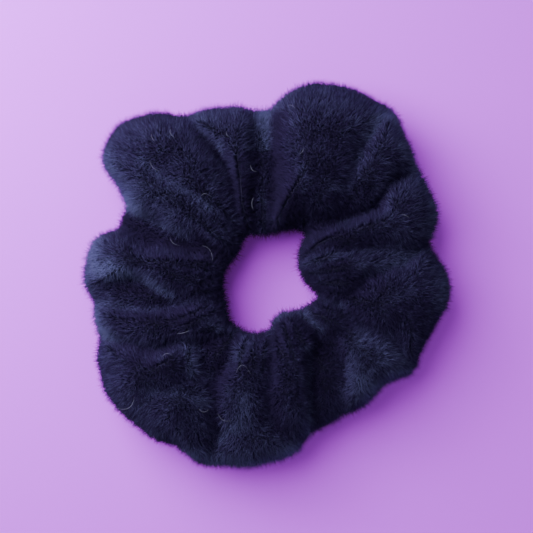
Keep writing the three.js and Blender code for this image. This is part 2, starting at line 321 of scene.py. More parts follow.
def patterned(name, texture, dark, light, relief, reading="Fac"):
    """A material whose colour and fine relief follow one texture on the piece."""
    material = bpy.data.materials.new(name)
    material.use_nodes = True
    nodes, links = material.node_tree.nodes, material.node_tree.links
    shader = nodes["Principled BSDF"]
    place = nodes.new("ShaderNodeTexCoord")
    pattern = nodes.new(texture)
    shade = nodes.new("ShaderNodeValToRGB")
    shade.color_ramp.elements[0].color = dark
    shade.color_ramp.elements[1].color = light
    bump = nodes.new("ShaderNodeBump")
    bump.inputs["Distance"].default_value = abs(relief)
    bump.invert = relief < 0
    links.new(place.outputs["Object"], pattern.inputs["Vector"])
    links.new(pattern.outputs[reading], shade.inputs["Fac"])
    links.new(shade.outputs["Color"], shader.inputs["Base Color"])
    links.new(pattern.outputs[reading], bump.inputs["Height"])
    links.new(bump.outputs["Normal"], shader.inputs["Normal"])
    return material, shader, pattern


ground_cloth, shader, knit = patterned(
    "plush_ground_cloth", "ShaderNodeTexNoise",
    dark=(0.010, 0.007, 0.026, 1), light=(0.016, 0.011, 0.042, 1), relief=0.3 * MM)
shader.inputs["Roughness"].default_value = 0.9
shader.inputs["Specular IOR Level"].default_value = 0.2
knit.inputs["Scale"].default_value = 900
knit.inputs["Detail"].default_value = 3


def cut_wedge(source, name, start_turn, end_turn):
    """The part of a piece between two angles, cut clean along both."""
    cut = bmesh.new()
    cut.from_mesh(source.data)
    low, high = sorted((start_turn, end_turn))
    for angle, way in ((low, 1), (high, -1)):
        a = BASE_ANGLE + angle
        bmesh.ops.bisect_plane(
            cut,
            geom=cut.verts[:] + cut.edges[:] + cut.faces[:],
            plane_co=(ring_x, ring_y, 0),
            plane_no=(-math.sin(a) * way, math.cos(a) * way, 0),
            clear_inner=True,
        )
    mesh = bpy.data.meshes.new(name)
    cut.to_mesh(mesh)
    cut.free()
    return place_mesh(name, mesh)


# each stretch: its two bodies and the angles of their middles
stretches = []
for side, way in (("right", 1), ("left", -1)):
    for number in range(6):
        near = "base" if number == 0 else f"{side}_{number}"
        far = f"{side}_{number + 1}"
        stretches.append((near, far, way * number * WEDGE, way * (number + 1) * WEDGE))

covers = []
for near, far, start_turn, end_turn in stretches:
    piece = cut_wedge(cloth, f"cover_cloth_{far}", start_turn, end_turn)
    piece.data.polygons.foreach_set("use_smooth", [True] * len(piece.data.polygons))
    piece.data.materials.clear()
    piece.data.materials.append(ground_cloth)
    covers.append(piece)
bpy.data.objects.remove(cloth)


# ---- Pile ------------------------------------------------
# Polyester fibres knitted into the cover's ground cloth, sheared to about 3 mm. They lean outward
# with the nap, clump a little, and are brushed different ways on different folds; their colour is
# painted lighter (painted sheen) and darker (painted shade) in places. The cloth and the pile that
# grows on it stretch together between two bodies, in proportion to the angle.

PILE_LENGTH = 3.1 * MM
FIBRE_WIDTH = 0.2 * MM
FIBRES_PER_M2 = 15e6
FIBRE_LEAN = 0.35                      # with the nap
FIBRE_SPLAY = 0.32                     # by chance
BRUSHED_WAY = (1.1, -0.9, 0)           # where pile that is brushed up leans
GROUND = 0.05 * MM                     # lowest that any fibre reaches above the floor

# Strokes where the pile's colour is painted lighter (painted sheen, +) or darker (painted shade, -)
# and its fibres lean with the brushing: the path seen from above, its width in mm and its strength.
sheen_and_shade_strokes = [
    # upper left
    ([(-50, 36), (-46, 28), (-42, 22)], 3.0, 0.7),
    ([(-42, 21.5), (-32, 16), (-24, 12.5)], 1.8, 0.5),
    ([(-40, 27), (-28, 20), (-14, 16)], 6.0, 0.2),
    ([(-38, 36), (-35, 32), (-29, 29), (-22, 25), (-17, 21)], 1.3, 0.45),
    ([(-23, 50), (-18, 43)], 3.0, 0.4),
    ([(-14, 41), (-10.5, 34)], 1.1, 0.6),
    ([(-17, 41), (-12, 36), (-10, 26)], 2.2, -0.3),
    ([(-1, 53), (-1, 47), (0, 41)], 2.6, 0.85),
    ([(-44, 18), (-36, 12), (-26, 8), (-15, 6.5)], 3.0, -0.5),
    ([(-8, 31), (-8, 18)], 4.0, -0.1),
    ([(-5, 51), (-5, 42)], 3.0, 0.3),
    ([(5, 48), (4, 34), (3, 20)], 2.5, -0.4),
    ([(-1, 23), (2, 19)], 2.2, 0.4),
    # upper right
    ([(2, 50), (5, 55.5), (10, 59.5)], 2.4, 0.5),
    ([(5, 34), (7, 20)], 3.5, -0.3),
    ([(12, 33), (11, 27)], 1.2, 0.4),
    ([(7, 17.5), (15, 19.5)], 2.5, 0.15),
    ([(17, 42), (21, 33)], 6.0, -0.15),
    ([(35, 48.5), (31.5, 43)], 2.2, 0.6),
    ([(31, 42), (28, 35), (25, 28), (19, 27)], 1.8, 0.25),
    ([(40, 49), (43, 44), (46, 35), (50, 28)], 3.0, 0.5),
    ([(22, 22), (32, 24)], 4.0, -0.12),
    # right
    ([(38, 28), (36, 22.5), (31, 19), (24, 15.5)], 1.3, 0.6),
    ([(52, 24), (51.5, 12)], 2.5, 0.35),
    ([(55, 1), (54, -12)], 2.6, 0.3),
    ([(16, 9), (30, 11)], 2.5, -0.2),
    ([(12, 4), (20, 5.5), (28, 7), (47, 7)], 1.4, 0.35),
    ([(28, 3), (39, 3), (45, 5)], 2.2, 0.4),
    ([(17, -6), (20, -8), (25, -9)], 1.6, 0.6),
    ([(37, -9), (43, -6)], 1.8, 0.25),
    ([(30, -3), (44, -11), (50, -17)], 8.0, -0.16),
    # lower right
    ([(30, -20), (28, -28), (30, -36)], 3.2, 0.35),
    ([(36, -24), (42, -29), (34, -34)], 3.5, 0.35),
    ([(18, -21), (18.5, -44)], 4.5, -0.2),
    # bottom
    ([(2, -19), (2.5, -15.5), (6, -13), (11, -12.8), (17, -16.5)], 1.5, 0.8),
    ([(4, -19), (8, -18)], 2.0, -0.2),
    ([(12.4, -23), (12.6, -40), (12, -50)], 1.1, 0.7),
    ([(15.2, -21), (15.4, -46)], 1.5, -0.2),
    ([(2, -40), (5, -49)], 2.8, -0.3),
    ([(-5, -21), (-8, -25), (-11, -29)], 1.8, 0.4),
    ([(-13, -31), (-16, -37)], 2.0, -0.35),
    ([(2.5, -20), (2.5, -38)], 1.6, -0.3),
    ([(-7, -38), (-7, -43), (-10, -48), (-13, -51)], 2.5, 0.5),
    ([(-15, -38), (-15.8, -50)], 1.8, -0.3),
    ([(-26, -55), (-15, -59), (0, -59), (8, -55)], 2.8, 0.5),
    ([(-3, -52), (6, -54)], 3.0, 0.2),
    # lower left
    ([(-17, -22), (-14, -27)], 3.5, -0.4),
    ([(-22, -23), (-25, -25), (-24, -31)], 1.5, 0.45),
    ([(-36, -36), (-28, -37), (-21, -40)], 1.9, 0.35),
    ([(-42, -27), (-30, -30)], 4.0, -0.15),
    # left
    ([(-54, -11), (-53, -16), (-48, -20)], 2.2, 0.8),
    ([(-42, -21), (-36, -23), (-30, -22), (-24, -19.5)], 1.3, 0.45),
    ([(-20, -15), (-14, -18)], 2.2, 0.3),
    ([(-44, -15), (-24, -14)], 2.4, -0.2),
    ([(-52, -9), (-44, -10), (-36, -12), (-28, -10), (-19, -7)], 1.3, 0.35),
    ([(-55, 10), (-54, 4), (-52, 2)], 4.2, 0.85),
    ([(-48, 3), (-42, 0.5), (-36, -1.8), (-30, -5.5)], 1.9, 0.8),
    ([(-46, -5), (-38, -5.5), (-33, -8)], 1.6, -0.25),
    ([(-57, -2), (-56, -7)], 1.8, 0.5),
    ([(-50, -3.5), (-38, -5.5)], 2.2, -0.1),
]


def sheen_and_shade_strength(places):
    """How much painted sheen (+) or painted shade (-) each place gets, which also leans its fibres; places
    are x, y in mm.
    """
    total = np.zeros(len(places))
    for path, width, strength in sheen_and_shade_strokes:
        nearest = np.full(len(places), np.inf)
        for start, end in zip(path[:-1], path[1:]):
            step = np.subtract(end, start)
            share = np.clip((places - start) @ step / (step @ step), 0, 1)
            gap = np.linalg.norm(places - start - share[:, None] * step, axis=1)
            nearest = np.minimum(nearest, gap)
        total += strength * np.exp(-(nearest / width) ** 2)
    return np.clip(total, -1, 1)


def crease_depth(points, normals):
    """How much of the sky each place in the cloth is shut off from by the folds round it, 0 to 1."""
    reach, off_cloth = 22 * MM, 1 * MM
    turns = 2 * math.pi * (np.arange(8) + 0.5) / 8
    ways = [(math.cos(turn) * 0.77, math.sin(turn) * 0.77, 0.64) for turn in turns]
    shut = np.zeros(len(points))
    for i, start in enumerate(points + normals * off_cloth):
        for way in ways:
            if cloth_surface.ray_cast(start, way, reach)[0] is not None:
                shut[i] += 1 / len(ways)
    return shut


def socket_in(tree, name, kind, default=None):
    item = tree.interface.new_socket(name=name, in_out="INPUT", socket_type=kind)
    if default is not None:
        item.default_value = default
    return item.identifier


tree = bpy.data.node_groups.new("plush_pile", "GeometryNodeTree")
tree.interface.new_socket(name="Geometry", in_out="OUTPUT", socket_type="NodeSocketGeometry")
socket_in(tree, "Geometry", "NodeSocketGeometry")
density_input = socket_in(tree, "Fibres per m2", "NodeSocketFloat", FIBRES_PER_M2)
length_input = socket_in(tree, "Length", "NodeSocketFloat", PILE_LENGTH)
width_input = socket_in(tree, "Width", "NodeSocketFloat", FIBRE_WIDTH)
lean_input = socket_in(tree, "Lean", "NodeSocketFloat", FIBRE_LEAN)
seed_input = socket_in(tree, "Seed", "NodeSocketInt", 0)
material_input = socket_in(tree, "Material", "NodeSocketMaterial")


def node(kind, **settings):
    made = tree.nodes.new(kind)
    for key, value in settings.items():
        setattr(made, key, value)
    return made


def wire(source, target):
    tree.links.new(source, target)


def math_node(operation, a, b):
    made = node("ShaderNodeMath", operation=operation)
    for slot, value in zip(made.inputs, (a, b)):
        if isinstance(value, (int, float)):
            slot.default_value = value
        else:
            wire(value, slot)
    return made.outputs[0]


def vector_node(operation, a, b):
    made = node("ShaderNodeVectorMath", operation=operation)
    wire(a, made.inputs[0])
    if operation == "SCALE":
        target = made.inputs["Scale"]
    else:
        target = made.inputs[1]
    if isinstance(b, (int, float, tuple)):
        target.default_value = b
    else:
        wire(b, target)
    return made.outputs[0]


def random_node(low, high, seed, offset):
    made = node("FunctionNodeRandomValue", data_type="FLOAT")
    made.inputs[2].default_value = low
    made.inputs[3].default_value = high
    wire(math_node("ADD", seed, offset), made.inputs["Seed"])
    return made.outputs[1]


def noise_here(scale, detail):
    made = node("ShaderNodeTexNoise", noise_dimensions="3D")
    made.inputs["Scale"].default_value = scale
    made.inputs["Detail"].default_value = detail
    wire(node("GeometryNodeInputPosition").outputs[0], made.inputs["Vector"])
    return made.outputs


def kept(name, kind="FLOAT"):
    """What the mesh holds under a name."""
    made = node("GeometryNodeInputNamedAttribute", data_type=kind)
    made.inputs["Name"].default_value = name
    return made.outputs[0]


def keep(geometry, name, value, kind="FLOAT", domain="POINT"):
    """The mesh with a value held under a name."""
    made = node("GeometryNodeStoreNamedAttribute", data_type=kind, domain=domain)
    made.inputs["Name"].default_value = name
    wire(geometry, made.inputs["Geometry"])
    wire(value, made.inputs["Value"])
    return made.outputs[0]


given = node("NodeGroupInput").outputs
seed = given["Seed"]

scatter = node("GeometryNodeDistributePointsOnFaces", distribute_method="RANDOM")
wire(given["Geometry"], scatter.inputs["Mesh"])
wire(math_node("MULTIPLY", given["Fibres per m2"], kept("pile_share")), scatter.inputs["Density"])
wire(seed, scatter.inputs["Seed"])

# a fibre's direction: off the cloth, leaning with the nap, stirred by three sizes of noise and
# splayed by chance
direction = vector_node("SCALE", kept("nap", "FLOAT_VECTOR"), given["Lean"])
direction = vector_node("ADD", scatter.outputs["Normal"], direction)
for scale, amount in ((130, 1.0), (900, 0.9), (2300, 1.3)):
    centred = vector_node("SUBTRACT", noise_here(scale, 1)["Color"], (0.5, 0.5, 0.5))
    direction = vector_node("ADD", direction, vector_node("SCALE", centred, amount))
splay = node("FunctionNodeRandomValue", data_type="FLOAT_VECTOR")
splay.inputs[0].default_value = [-FIBRE_SPLAY] * 3
splay.inputs[1].default_value = [FIBRE_SPLAY] * 3
wire(math_node("ADD", seed, 11), splay.inputs["Seed"])
direction = vector_node("ADD", direction, splay.outputs[0])
turned = node("FunctionNodeAlignRotationToVector", axis="Z")
wire(direction, turned.inputs["Vector"])

# a fibre's tone: its painted sheen and painted shade, the patch and the tuft that it is in, and its own
# chance
tufts = noise_here(900, 1)["Fac"]
patches = noise_here(260, 2)["Fac"]
level = math_node("ADD", math_node("MULTIPLY", kept("brushed_and_painted_light"), 0.62), 0.12)
level = math_node("ADD", level, math_node("MULTIPLY", patches, 0.36))
level = math_node("ADD", level, math_node("MULTIPLY", tufts, 0.5))
level = math_node("ADD", level, random_node(-0.5, 0, seed, 23))
within = node("ShaderNodeClamp")
wire(level, within.inputs["Value"])
roots = keep(scatter.outputs["Points"], "tone", within.outputs[0])

# one fibre: a closed three-sided spike of unit length, with its height kept for the colour
spike = node("GeometryNodeMeshCone", fill_type="NGON")
spike.inputs["Vertices"].default_value = 3
spike.inputs["Radius Top"].default_value = 0
spike.inputs["Radius Bottom"].default_value = 0.5
spike.inputs["Depth"].default_value = 1
height = node("ShaderNodeSeparateXYZ")
wire(node("GeometryNodeInputPosition").outputs[0], height.inputs[0])
fibre = keep(spike.outputs["Mesh"], "along", height.outputs["Z"])

size = node("ShaderNodeCombineXYZ")
wire(given["Width"], size.inputs["X"])
wire(given["Width"], size.inputs["Y"])
tuft_length = math_node("ADD", math_node("MULTIPLY", tufts, 0.9), 0.5)
uneven_cut = math_node("POWER", random_node(0, 1, seed, 37), 4)
uneven_cut = math_node("ADD", math_node("MULTIPLY", uneven_cut, 0.75), 0.75)
own_length = math_node("MULTIPLY", tuft_length, uneven_cut)
wire(math_node("MULTIPLY", given["Length"], own_length), size.inputs["Z"])
plant = node("GeometryNodeInstanceOnPoints")
wire(roots, plant.inputs["Points"])
wire(fibre, plant.inputs["Instance"])
wire(turned.outputs[0], plant.inputs["Rotation"])
wire(size.outputs[0], plant.inputs["Scale"])
real = node("GeometryNodeRealizeInstances")
wire(plant.outputs[0], real.inputs[0])

# fibres under the cover lie flat on whatever it rests on
split = node("ShaderNodeSeparateXYZ")
join = node("ShaderNodeCombineXYZ")
wire(node("GeometryNodeInputPosition").outputs[0], split.inputs[0])
wire(split.outputs["X"], join.inputs["X"])
wire(split.outputs["Y"], join.inputs["Y"])
wire(math_node("MAXIMUM", split.outputs["Z"], GROUND), join.inputs["Z"])
rest = node("GeometryNodeSetPosition")
wire(real.outputs[0], rest.inputs["Geometry"])
wire(join.outputs[0], rest.inputs["Position"])

# the colour map of a fibre: across is its tone, with its painted sheen and shade, up is how far along it
# (lint is above 0.92)
flat_map = node("ShaderNodeCombineXYZ")
wire(math_node("ADD", math_node("MULTIPLY", kept("tone"), 0.98), 0.01), flat_map.inputs["X"])
wire(math_node("ADD", math_node("MULTIPLY", kept("along"), 0.86), 0.02), flat_map.inputs["Y"])
mapped = keep(rest.outputs[0], "OFBake", flat_map.outputs[0], "FLOAT2", "CORNER")


def end_tree(geometry):
    """Smooth shading and the tree's material on what it has made."""
    smooth = node("GeometryNodeSetShadeSmooth")
    paint = node("GeometryNodeSetMaterial")
    wire(geometry, smooth.inputs["Geometry"])
    wire(smooth.outputs[0], paint.inputs["Geometry"])
    wire(given["Material"], paint.inputs["Material"])
    wire(paint.outputs[0], node("NodeGroupOutput").inputs[0])


end_tree(mapped)

pile = bpy.data.materials.new("plush_pile")
pile.use_nodes = True
nodes, links = pile.node_tree.nodes, pile.node_tree.links
shader = nodes["Principled BSDF"]
shader.inputs["Roughness"].default_value = 0.8
shader.inputs["Specular IOR Level"].default_value = 0.04
shader.inputs["Sheen Weight"].default_value = 0.03
shader.inputs["Sheen Roughness"].default_value = 0.45
shader.inputs["Sheen Tint"].default_value = (0.35, 0.4, 0.95, 1)
fibre_map = nodes.new("ShaderNodeUVMap")
fibre_map.uv_map = "OFBake"
parts = nodes.new("ShaderNodeSeparateXYZ")
# the dark end of this ramp is painted shade and the light blue end painted sheen; the pile's own navy is in
# the middle
by_tone = nodes.new("ShaderNodeValToRGB")
by_tone.color_ramp.elements[0].color = (0.0148, 0.0084, 0.038, 1)
by_tone.color_ramp.elements[1].color = (0.118, 0.122, 0.300, 1)
usual = by_tone.color_ramp.elements.new(0.35)
usual.color = (0.0255, 0.0155, 0.068, 1)
# fibres are painted darker towards their roots: painted shade deep in the pile
root_shade_to_tip = nodes.new("ShaderNodeValToRGB")
root_shade_to_tip.color_ramp.elements[0].color = (0.62, 0.62, 0.62, 1)
root_shade_to_tip.color_ramp.elements[0].position = 0.2
root_shade_to_tip.color_ramp.elements[1].color = (1, 1, 1, 1)
root_shade_to_tip.color_ramp.elements[1].position = 0.8
fibre_colour = nodes.new("ShaderNodeMix")
fibre_colour.data_type = "RGBA"
fibre_colour.blend_type = "MULTIPLY"
fibre_colour.inputs["Factor"].default_value = 1
is_lint = nodes.new("ShaderNodeMath")
is_lint.operation = "GREATER_THAN"
is_lint.inputs[1].default_value = 0.92
with_lint = nodes.new("ShaderNodeMix")
with_lint.data_type = "RGBA"
with_lint.inputs["B"].default_value = (0.11, 0.11, 0.17, 1)
links.new(fibre_map.outputs[0], parts.inputs[0])
links.new(parts.outputs["X"], by_tone.inputs["Fac"])
links.new(parts.outputs["Y"], root_shade_to_tip.inputs["Fac"])
links.new(by_tone.outputs["Color"], fibre_colour.inputs["A"])
links.new(root_shade_to_tip.outputs["Color"], fibre_colour.inputs["B"])
links.new(parts.outputs["Y"], is_lint.inputs[0])
links.new(is_lint.outputs[0], with_lint.inputs["Factor"])
links.new(fibre_colour.outputs["Result"], with_lint.inputs["A"])
links.new(with_lint.outputs["Result"], shader.inputs["Base Color"])

# Lint: a few pale loose fibres lie on the pile, each a thin bent hair through three places in mm.
LINT_RADIUS = 0.06 * MM
LINT_ARCH = 0.9 * MM                   # how far a hair's middle stands up from the pile
lint = [
    [(-29.5, 45), (-29.6, 43.5), (-28, 42)],
    [(-35.5, 43.5), (-35.2, 42), (-34.3, 41)],
    [(-36, 35), (-35, 33), (-33, 32)],
    [(-30, 11.5), (-29, 9.8), (-27, 9)],
    [(-20, 9), (-17.6, 7.5), (-17, 4)],
    [(-4, 24), (-4.6, 22), (-4, 20)],
    [(-5, 34), (-4.4, 32.4), (-3, 32)],
    [(-12.4, 44.5), (-12.4, 43.5), (-11.6, 42.6)],
    [(6.6, 52.4), (8, 52.2), (9, 51)],
    [(11.4, 39), (11, 37.8), (10, 37)],
    [(41.6, 18.6), (43, 18.3), (44.4, 17.4)],
    [(-28, -18.4), (-26, -18.2), (-24, -17.4)],
    [(-48, -41), (-43, -41.5), (-41, -38)],
    [(-21, -41.5), (-19.6, -42.6), (-18, -42)],
    [(-15.2, -43.4), (-13.5, -45.4), (-11, -45.6)],
    [(-9.4, -30.5), (-7.4, -28.2), (-5, -31)],
    [(-20.4, 24), (-19, 25), (-17, 24)],
    [(-32.4, -25.4), (-30.6, -24.4), (-29, -25.4)],
]


def lint_hair(places):
    """A closed three-sided hair through three places, just above the pile."""
    steps = 8
    t = np.linspace(0, 1, steps + 1)[:, None]
    a, b, c = (np.array(place) * MM for place in places)
    line = (1 - t) * (1 - 2 * t) * a + 4 * t * (1 - t) * b + t * (2 * t - 1) * c
    vertices = []
    for k, (x, y) in enumerate(line):
        under = cloth_surface.find_nearest((x, y, 0.03))[0]
        z = under[2] + PILE_LENGTH * 0.8 + LINT_ARCH * math.sin(math.pi * k / steps)
        thin = LINT_RADIUS * (0.35 + math.sin(math.pi * (k + 0.5) / (steps + 1)))
        for corner in range(3):
            turn = 2 * math.pi * corner / 3
            offset = (thin * math.cos(turn), thin * math.sin(turn), thin * math.sin(turn + 1))
            vertices.append((x + offset[0], y + offset[1], z + offset[2]))
    tips = [(2, 1, 0), (3 * steps, 3 * steps + 1, 3 * steps + 2)]
    return np.array(vertices), wall(steps + 1, 3) + tips


# the circle through the middle of the elastic and the seam, and the height of the elastic's middle
ring_radius = (ring_high[0] - ring_low[0] - ring_high[2] + ring_low[2]) / 2
band_low, band_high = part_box("elastic_base")
band_height = (band_low[2] + band_high[2]) / 2


def ring_point(turn, radius, height):
    """A point at an angle from the base body's middle."""
    angle = BASE_ANGLE + turn
    return (ring_x + radius * math.cos(angle), ring_y + radius * math.sin(angle), height)


def way_along(points, start_turn, end_turn):
    """How far along a stretch of the ring each point is, 0 at its start and 1 at its end."""
    middle = (start_turn + end_turn) / 2
    turned = (ring_angle(points) - middle + math.pi) % (2 * math.pi) - math.pi
    return (turned + middle - start_turn) / (end_turn - start_turn)


def stretch_with(piece, near, far, start_turn, end_turn, shares=None, sewn=0):
    """Bends a piece between two bodies, in proportion to the angle from one's middle to the other's.
    The sewn share of it, at the far end, moves as one with the far body."""
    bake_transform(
        piece, near, far,
        start=ring_point(start_turn, ring_radius, band_height),
        end=ring_point(end_turn, ring_radius, band_height),
    )
    if shares is None:
        shares = way_along(vertex_places(piece.data), start_turn, end_turn) / (1 - sewn)
    shares = np.clip(shares, 0, 1).astype(np.float32)
    piece.data.attributes["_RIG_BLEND"].data.foreach_set("value", shares)


def keep_on_cloth(mesh, name, kind, values):
    field = "vector" if kind == "FLOAT_VECTOR" else "value"
    layer = mesh.attributes.new(name, kind, "POINT")
    layer.data.foreach_set(field, values.astype(np.float32).ravel())


def mark_nap(mesh, start_turn, end_turn):
    """Keeps on the cloth which way its pile lies, its painted sheen and painted shade, how dense it is, and
    what it follows.
    """
    points = vertex_places(mesh).astype(float)
    normals = vertex_places(mesh, normals=True)
    outward = points - np.array([ring_x, ring_y, 0])
    outward[:, 2] = 0
    outward /= np.linalg.norm(outward, axis=1)[:, None]
    faces_out = np.sum(outward * normals, axis=1)
    shade_near_hole = np.clip((42 - ring_reach(points)) / 16, 0, 1)
    above_table = np.clip((points[:, 2] / MM - 4) / 6, 0, 1)
    # painted shade in the creases and towards the hole, a little painted sheen on the outer side; with the
    # strokes it also leans the fibres
    brushing_and_painted_light = sheen_and_shade_strength(points[:, :2] / MM) * above_table
    brushing_and_painted_light += 0.08 * np.clip(faces_out, 0, 1)
    brushing_and_painted_light += 0.03 - 0.6 * crease_depth(points, normals) - 0.15 * shade_near_hole
    nap = outward - normals * faces_out[:, None]
    nap += np.outer(brushing_and_painted_light, BRUSHED_WAY)
    keep_on_cloth(mesh, "brushed_and_painted_light", "FLOAT", brushing_and_painted_light)
    keep_on_cloth(mesh, "nap", "FLOAT_VECTOR", nap)
    keep_on_cloth(mesh, "pile_share", "FLOAT", np.where(normals[:, 2] < -0.6, 0.45, 1.0))
    keep_on_cloth(mesh, "follow", "FLOAT", np.clip(way_along(points, start_turn, end_turn), 0, 1))


def grow_pile(cover, seed):
    """The pile that grows on a marked cloth, as a plain mesh."""
    grower = place_mesh("grower", cover.data.copy())
    grow = grower.modifiers.new("pile", "NODES")
    grow.node_group = tree
    grow[density_input] = FIBRES_PER_M2
    grow[length_input] = PILE_LENGTH
    grow[width_input] = FIBRE_WIDTH
    grow[lean_input] = FIBRE_LEAN
    grow[seed_input] = seed
    grow[material_input] = pile
    bpy.context.view_layer.update()
    depsgraph = bpy.context.evaluated_depsgraph_get()
    hair = bpy.data.meshes.new_from_object(grower.evaluated_get(depsgraph))
    bpy.data.objects.remove(grower)
    return hair


def lay_lint(hair, start_turn, end_turn):
    """Joins to a stretch's pile the lint whose middle lies on that stretch."""
    joined = bmesh.new()
    joined.from_mesh(hair)
    follow_layer = joined.verts.layers.float["follow"]
    map_layer = joined.loops.layers.uv["OFBake"]
    for number, places in enumerate(lint):
        middle = np.array([places[1] + (0,)]) * MM
        follow = way_along(middle, start_turn, end_turn)[0]
        if not 0 <= follow < 1:
            continue
        corners, sides = lint_hair(places)
        made = [joined.verts.new(corner) for corner in corners]
        for vertex in made:
            vertex[follow_layer] = follow
        for side in sides:
            face = joined.faces.new([made[i] for i in side])
            face.smooth = True
            face.material_index = len(hair.materials) - 1
            for loop in face.loops:
                loop[map_layer].uv = ((number + 0.5) / len(lint), 0.97)
    joined.to_mesh(hair)
    joined.free()


def sections(kind, far):
    """The names of the CAD sections that one stretch's piece stands for."""
    return [f"{kind}_{far}"] + ([f"{kind}_base"] if far == "right_1" else [])


for number, (cover, (near, far, start_turn, end_turn)) in enumerate(zip(covers, stretches)):
    mark_nap(cover.data, start_turn, end_turn)
    hair = grow_pile(cover, 100 + number)
    lay_lint(hair, start_turn, end_turn)
    shares = np.empty(len(hair.vertices), np.float32)
    hair.attributes["follow"].data.foreach_get("value", shares)
    for mesh in (cover.data, hair):
        for spare in ("follow", "tone", "along", "nap", "pile_share", "brushed_and_painted_light"):
            if spare in mesh.attributes:
                mesh.attributes.remove(mesh.attributes[spare])
    tuft = place_mesh(f"cover_pile_{far}", hair)
    stretch_with(cover, near, far, start_turn, end_turn)
    stretch_with(tuft, near, far, start_turn, end_turn, shares)
    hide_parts(*sections("cover", far))


# ---- Long seam -------------------------------------------
# Polyester thread that sews the strip's long edges together, turned inside the tube: a row of
# short lock stitches that lie end to end under the elastic.

STITCHES = 5                           # lock stitches in each stretch of the long seam
STITCH = 2.3 * MM
SEAM_THREAD = (ring_high[2] - ring_low[2]) * 0.35  # radius

thread_paint, shader, twist = patterned(
    "navy_sewing_thread", "ShaderNodeTexWave",
    dark=(0.006, 0.006, 0.014, 1), light=(0.030, 0.030, 0.060, 1), relief=0.06 * MM)
shader.inputs["Roughness"].default_value = 0.55
shader.inputs["Sheen Weight"].default_value = 0.2
twist.bands_direction = "DIAGONAL"
twist.inputs["Scale"].default_value = 900
twist.inputs["Distortion"].default_value = 1.5

tree = bpy.data.node_groups.new("lock_stitches", "GeometryNodeTree")
tree.interface.new_socket(name="Geometry", in_out="OUTPUT", socket_type="NodeSocketGeometry")
socket_in(tree, "Geometry", "NodeSocketGeometry")
stitch_count_input = socket_in(tree, "Stitches", "NodeSocketInt", 5)
stitch_size_input = socket_in(tree, "Stitch size", "NodeSocketVector")
stitch_material_input = socket_in(tree, "Material", "NodeSocketMaterial")
given = node("NodeGroupInput").outputs
line = node("GeometryNodeMeshToCurve")
wire(given["Geometry"], line.inputs["Mesh"])
spaced = node("GeometryNodeResampleCurve")
wire(line.outputs[0], spaced.inputs["Curve"])
wire(given["Stitches"], spaced.inputs["Count"])
along_line = node("FunctionNodeAlignRotationToVector", axis="Z")
wire(node("GeometryNodeInputTangent").outputs[0], along_line.inputs["Vector"])
bead = node("GeometryNodeMeshUVSphere")
bead.inputs["Segments"].default_value = 10
bead.inputs["Rings"].default_value = 8
bead.inputs["Radius"].default_value = 1
sewn = node("GeometryNodeInstanceOnPoints")
wire(spaced.outputs[0], sewn.inputs["Points"])
wire(bead.outputs["Mesh"], sewn.inputs["Instance"])
wire(along_line.outputs[0], sewn.inputs["Rotation"])
wire(given["Stitch size"], sewn.inputs["Scale"])
real = node("GeometryNodeRealizeInstances")
wire(sewn.outputs[0], real.inputs[0])
end_tree(real.outputs[0])


def sewn_row(name, path, stitches, length, radius):
    """A row of stitches, evenly spaced along a path of points."""
    guide = bpy.data.meshes.new(name)
    guide.from_pydata([tuple(point) for point in path], [(i, i + 1) for i in range(len(path) - 1)], [])
    sewer = place_mesh(name, guide)
    sew = sewer.modifiers.new("stitches", "NODES")
    sew.node_group = tree
    sew[stitch_count_input] = stitches
    sew[stitch_size_input] = (radius, radius, length / 2)
    sew[stitch_material_input] = thread_paint
    bpy.context.view_layer.update()
    depsgraph = bpy.context.evaluated_depsgraph_get()
    row = bpy.data.meshes.new_from_object(sewer.evaluated_get(depsgraph))
    sewer.modifiers.clear()
    sewer.data = row
    return sewer


seam_height = (ring_low[2] + ring_high[2]) / 2
for near, far, start_turn, end_turn in stretches:
    inset = (end_turn - start_turn) / STITCHES / 2
    turns = np.linspace(start_turn + inset, end_turn - inset, 21)
    path = [ring_point(turn, ring_radius, seam_height) for turn in turns]
    seam = sewn_row(f"long_seam_{far}", path, STITCHES, STITCH, SEAM_THREAD)
    stretch_with(seam, near, far, start_turn, end_turn)
    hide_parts(*sections("seam_thread", far))

# ---- Elastic ---------------------------------------------
# Flat braided elastic: rubber cords in a polyester braid, on edge in the tube. Its two ends run past
# each other at the closing seam, one outside the other.

BAND_THICKNESS = 1 * MM
BAND_CORDS = 9
OVERLAP = math.radians(10.3)           # how far each end runs past the closing seam
LAYER_SHIFT = 0.65 * MM                # from the ring to each layer of the overlap

braid, shader, yarn = patterned(
    "braided_elastic", "ShaderNodeTexVoronoi", reading="Distance",
    dark=(0.020, 0.020, 0.026, 1), light=(0.005, 0.005, 0.008, 1), relief=-0.1 * MM)
shader.inputs["Roughness"].default_value = 0.7
yarn.inputs["Scale"].default_value = 1600


def swept(name, loops, material):
    """A closed body through equal closed loops of points, capped at both ends."""
    count = len(loops[0])
    first = tuple(range(count))
    last = tuple((len(loops) - 1) * count + i for i in first)
    piece = new_mesh(name, np.vstack(loops), wall(len(loops), count) + [first[::-1], last])
    body = bmesh.new()
    body.from_mesh(piece.data)
    if body.calc_volume(signed=True) < 0:
        bmesh.ops.reverse_faces(body, faces=body.faces)
    body.to_mesh(piece.data)
    body.free()
    sides = [len(face.vertices) == 4 for face in piece.data.polygons]
    piece.data.polygons.foreach_set("use_smooth", sides)
    piece.data.materials.append(material)
    return piece


